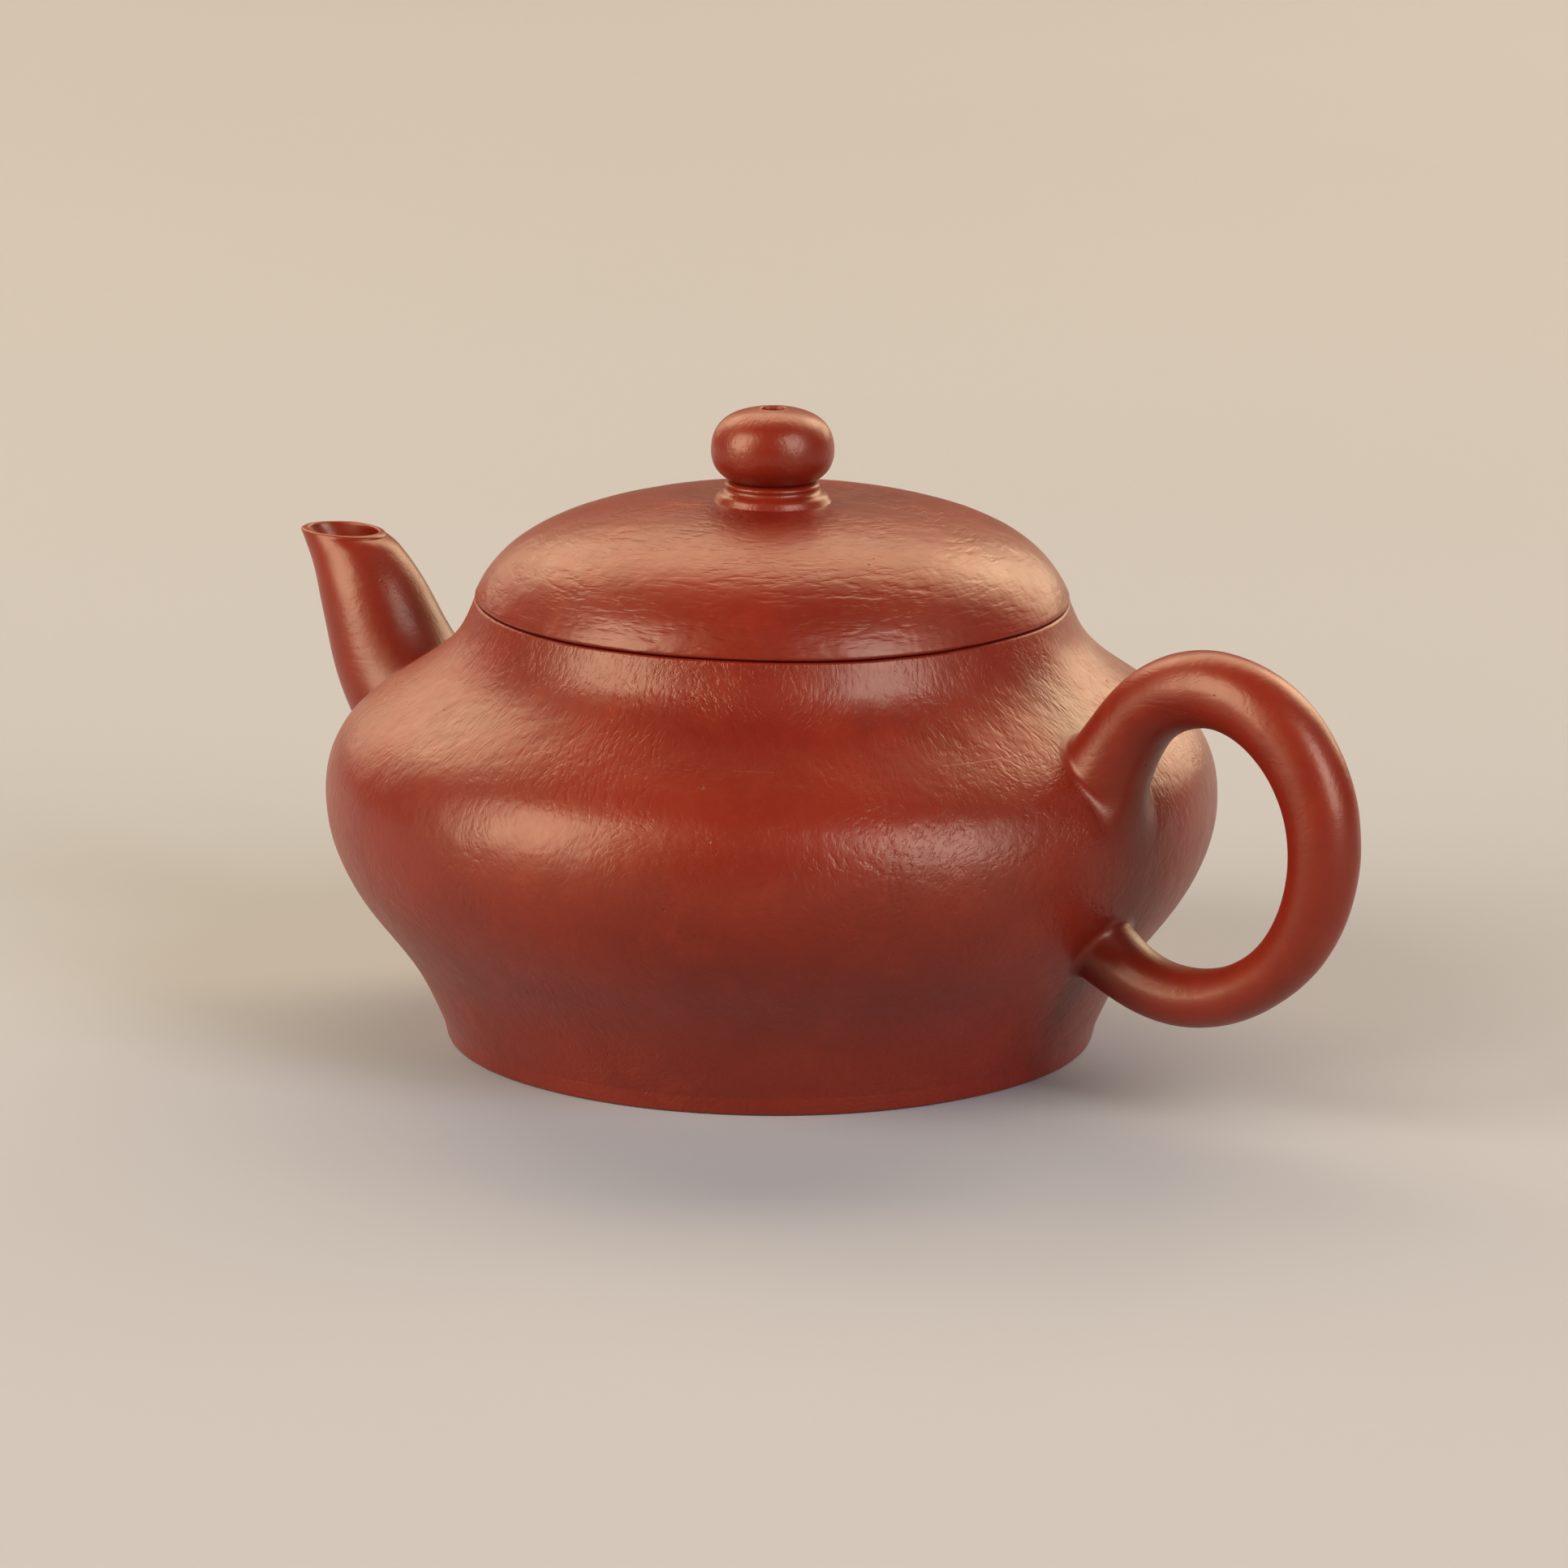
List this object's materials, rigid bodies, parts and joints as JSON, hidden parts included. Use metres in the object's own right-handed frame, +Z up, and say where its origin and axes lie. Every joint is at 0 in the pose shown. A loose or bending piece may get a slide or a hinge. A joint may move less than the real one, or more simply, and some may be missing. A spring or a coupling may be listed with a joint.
{
  "type": "clay teapot",
  "caption": "Squat round clay teapot: full belly on a waisted foot, short curved spout, ear-shaped loop handle and a domed lift-off lid with a vented ball knob.",
  "frame": {"origin": "on the pot's axis, at the plane the foot stands on", "axes": "+Z up along the pot's axis, +X towards the handle, -X towards the spout, so the XZ plane is the plane of symmetry"},
  "size_m": [0.1416, 0.096, 0.0686],
  "materials": {
    "burnished_clay": "unglazed red clay, burnished to a satin sheen, with fine shrinkage wrinkles",
    "plain_clay": "the same red clay, smoothed but not burnished"
  },
  "bodies": {
    "pot": {"foot_ring": "burnished_clay", "base_disc": "plain_clay", "body_wall": "burnished_clay", "shoulder": "burnished_clay", "spout": "burnished_clay", "handle": "burnished_clay"},
    "lid": {"lid_dome": "burnished_clay", "lid_flange": "plain_clay", "knob_collar": "burnished_clay", "knob": "burnished_clay"}
  },
  "joints": [
    {"name": "lid_lift", "type": "slide", "parent": "pot", "child": "lid", "axis": [0, 0, 1], "range_m": [0, 0.03]}
  ]
}
